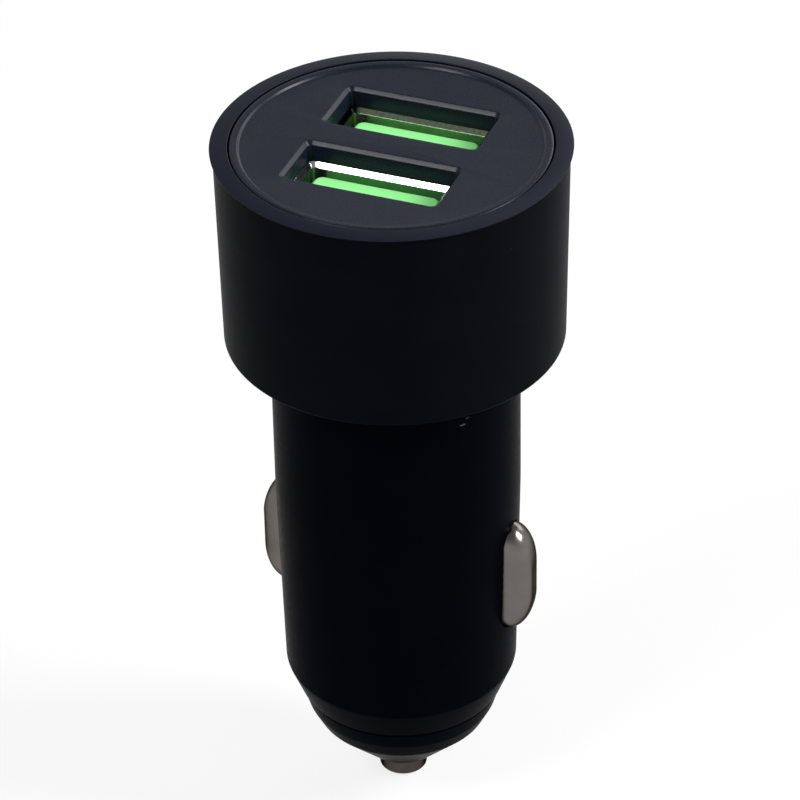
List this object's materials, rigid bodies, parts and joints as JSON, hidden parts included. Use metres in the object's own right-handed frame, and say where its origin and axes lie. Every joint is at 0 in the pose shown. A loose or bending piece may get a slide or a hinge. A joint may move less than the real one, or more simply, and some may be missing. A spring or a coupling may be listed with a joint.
{
  "type": "car usb charger plug",
  "caption": "Car socket charger with USB ports in a round head, a plug barrel, sprung side contacts and a sprung centre contact.",
  "frame": {"origin": "on the plug's axis, on the head's underside, the shoulder that stops at the socket's mouth", "axes": "+Z along the axis, out of the head towards the user; X along the ports' long side and the side contacts; +Y on the side of the ports' tongues"},
  "size_m": [0.03, 0.03, 0.0655],
  "materials": {
    "sleeve_black": "satin black anodised aluminium",
    "plate_black": "fine matte black moulding",
    "barrel_black": "satin black moulding",
    "contact_nickel": "bright nickel plate",
    "shell_steel": "bright nickel-plated steel",
    "port_green": "bright green moulding",
    "contact_gold": "gold flash on bronze",
    "spring_steel": "bright spring steel",
    "board_green": "green solder mask",
    "ferrite_grey": "matt ferrite",
    "winding_copper": "enamelled copper",
    "can_aluminium": "bare aluminium can",
    "chip_black": "matt black moulding",
    "fuse_white": "white ceramic"
  },
  "bodies": {
    "charger_body": {"head_sleeve": "sleeve_black", "face_plate": "plate_black", "barrel": "barrel_black", "nose_cap": "barrel_black", "contact_spring": "spring_steel", "side_spring_right": "spring_steel", "side_spring_left": "spring_steel", "usb_shell_rear": "shell_steel", "usb_shell_front": "shell_steel", "usb_insulator_rear": "port_green", "usb_insulator_front": "port_green", "usb_contacts_rear": "contact_gold", "usb_contacts_front": "contact_gold", "port_board": "board_green", "main_board": "board_green", "inductor_core": "ferrite_grey", "inductor_winding": "winding_copper", "input_capacitor": "can_aluminium", "output_capacitor": "can_aluminium", "converter_chip": "chip_black", "control_chip": "chip_black", "diode": "chip_black", "fuse": "fuse_white", "chip_parts": "fuse_white"},
    "centre_contact": {"centre_contact": "contact_nickel"},
    "side_contact_right": {"side_contact_right": "contact_nickel"},
    "side_contact_left": {"side_contact_left": "contact_nickel"}
  },
  "joints": [
    {"name": "centre_contact_press", "type": "slide", "parent": "charger_body", "child": "centre_contact", "axis": [0, 0, 1], "range_m": [0, 0.0022], "stiffness_N_per_m": 900, "springref_m": -0.004, "deforming": ["contact_spring"]},
    {"name": "side_contact_right_press", "type": "slide", "parent": "charger_body", "child": "side_contact_right", "axis": [-1, 0, 0], "range_m": [0, 0.0021], "stiffness_N_per_m": 1500, "springref_m": -0.001, "deforming": ["side_spring_right"]},
    {"name": "side_contact_left_press", "type": "slide", "parent": "charger_body", "child": "side_contact_left", "axis": [1, 0, 0], "range_m": [0, 0.0021], "stiffness_N_per_m": 1500, "springref_m": -0.001, "deforming": ["side_spring_left"]}
  ]
}
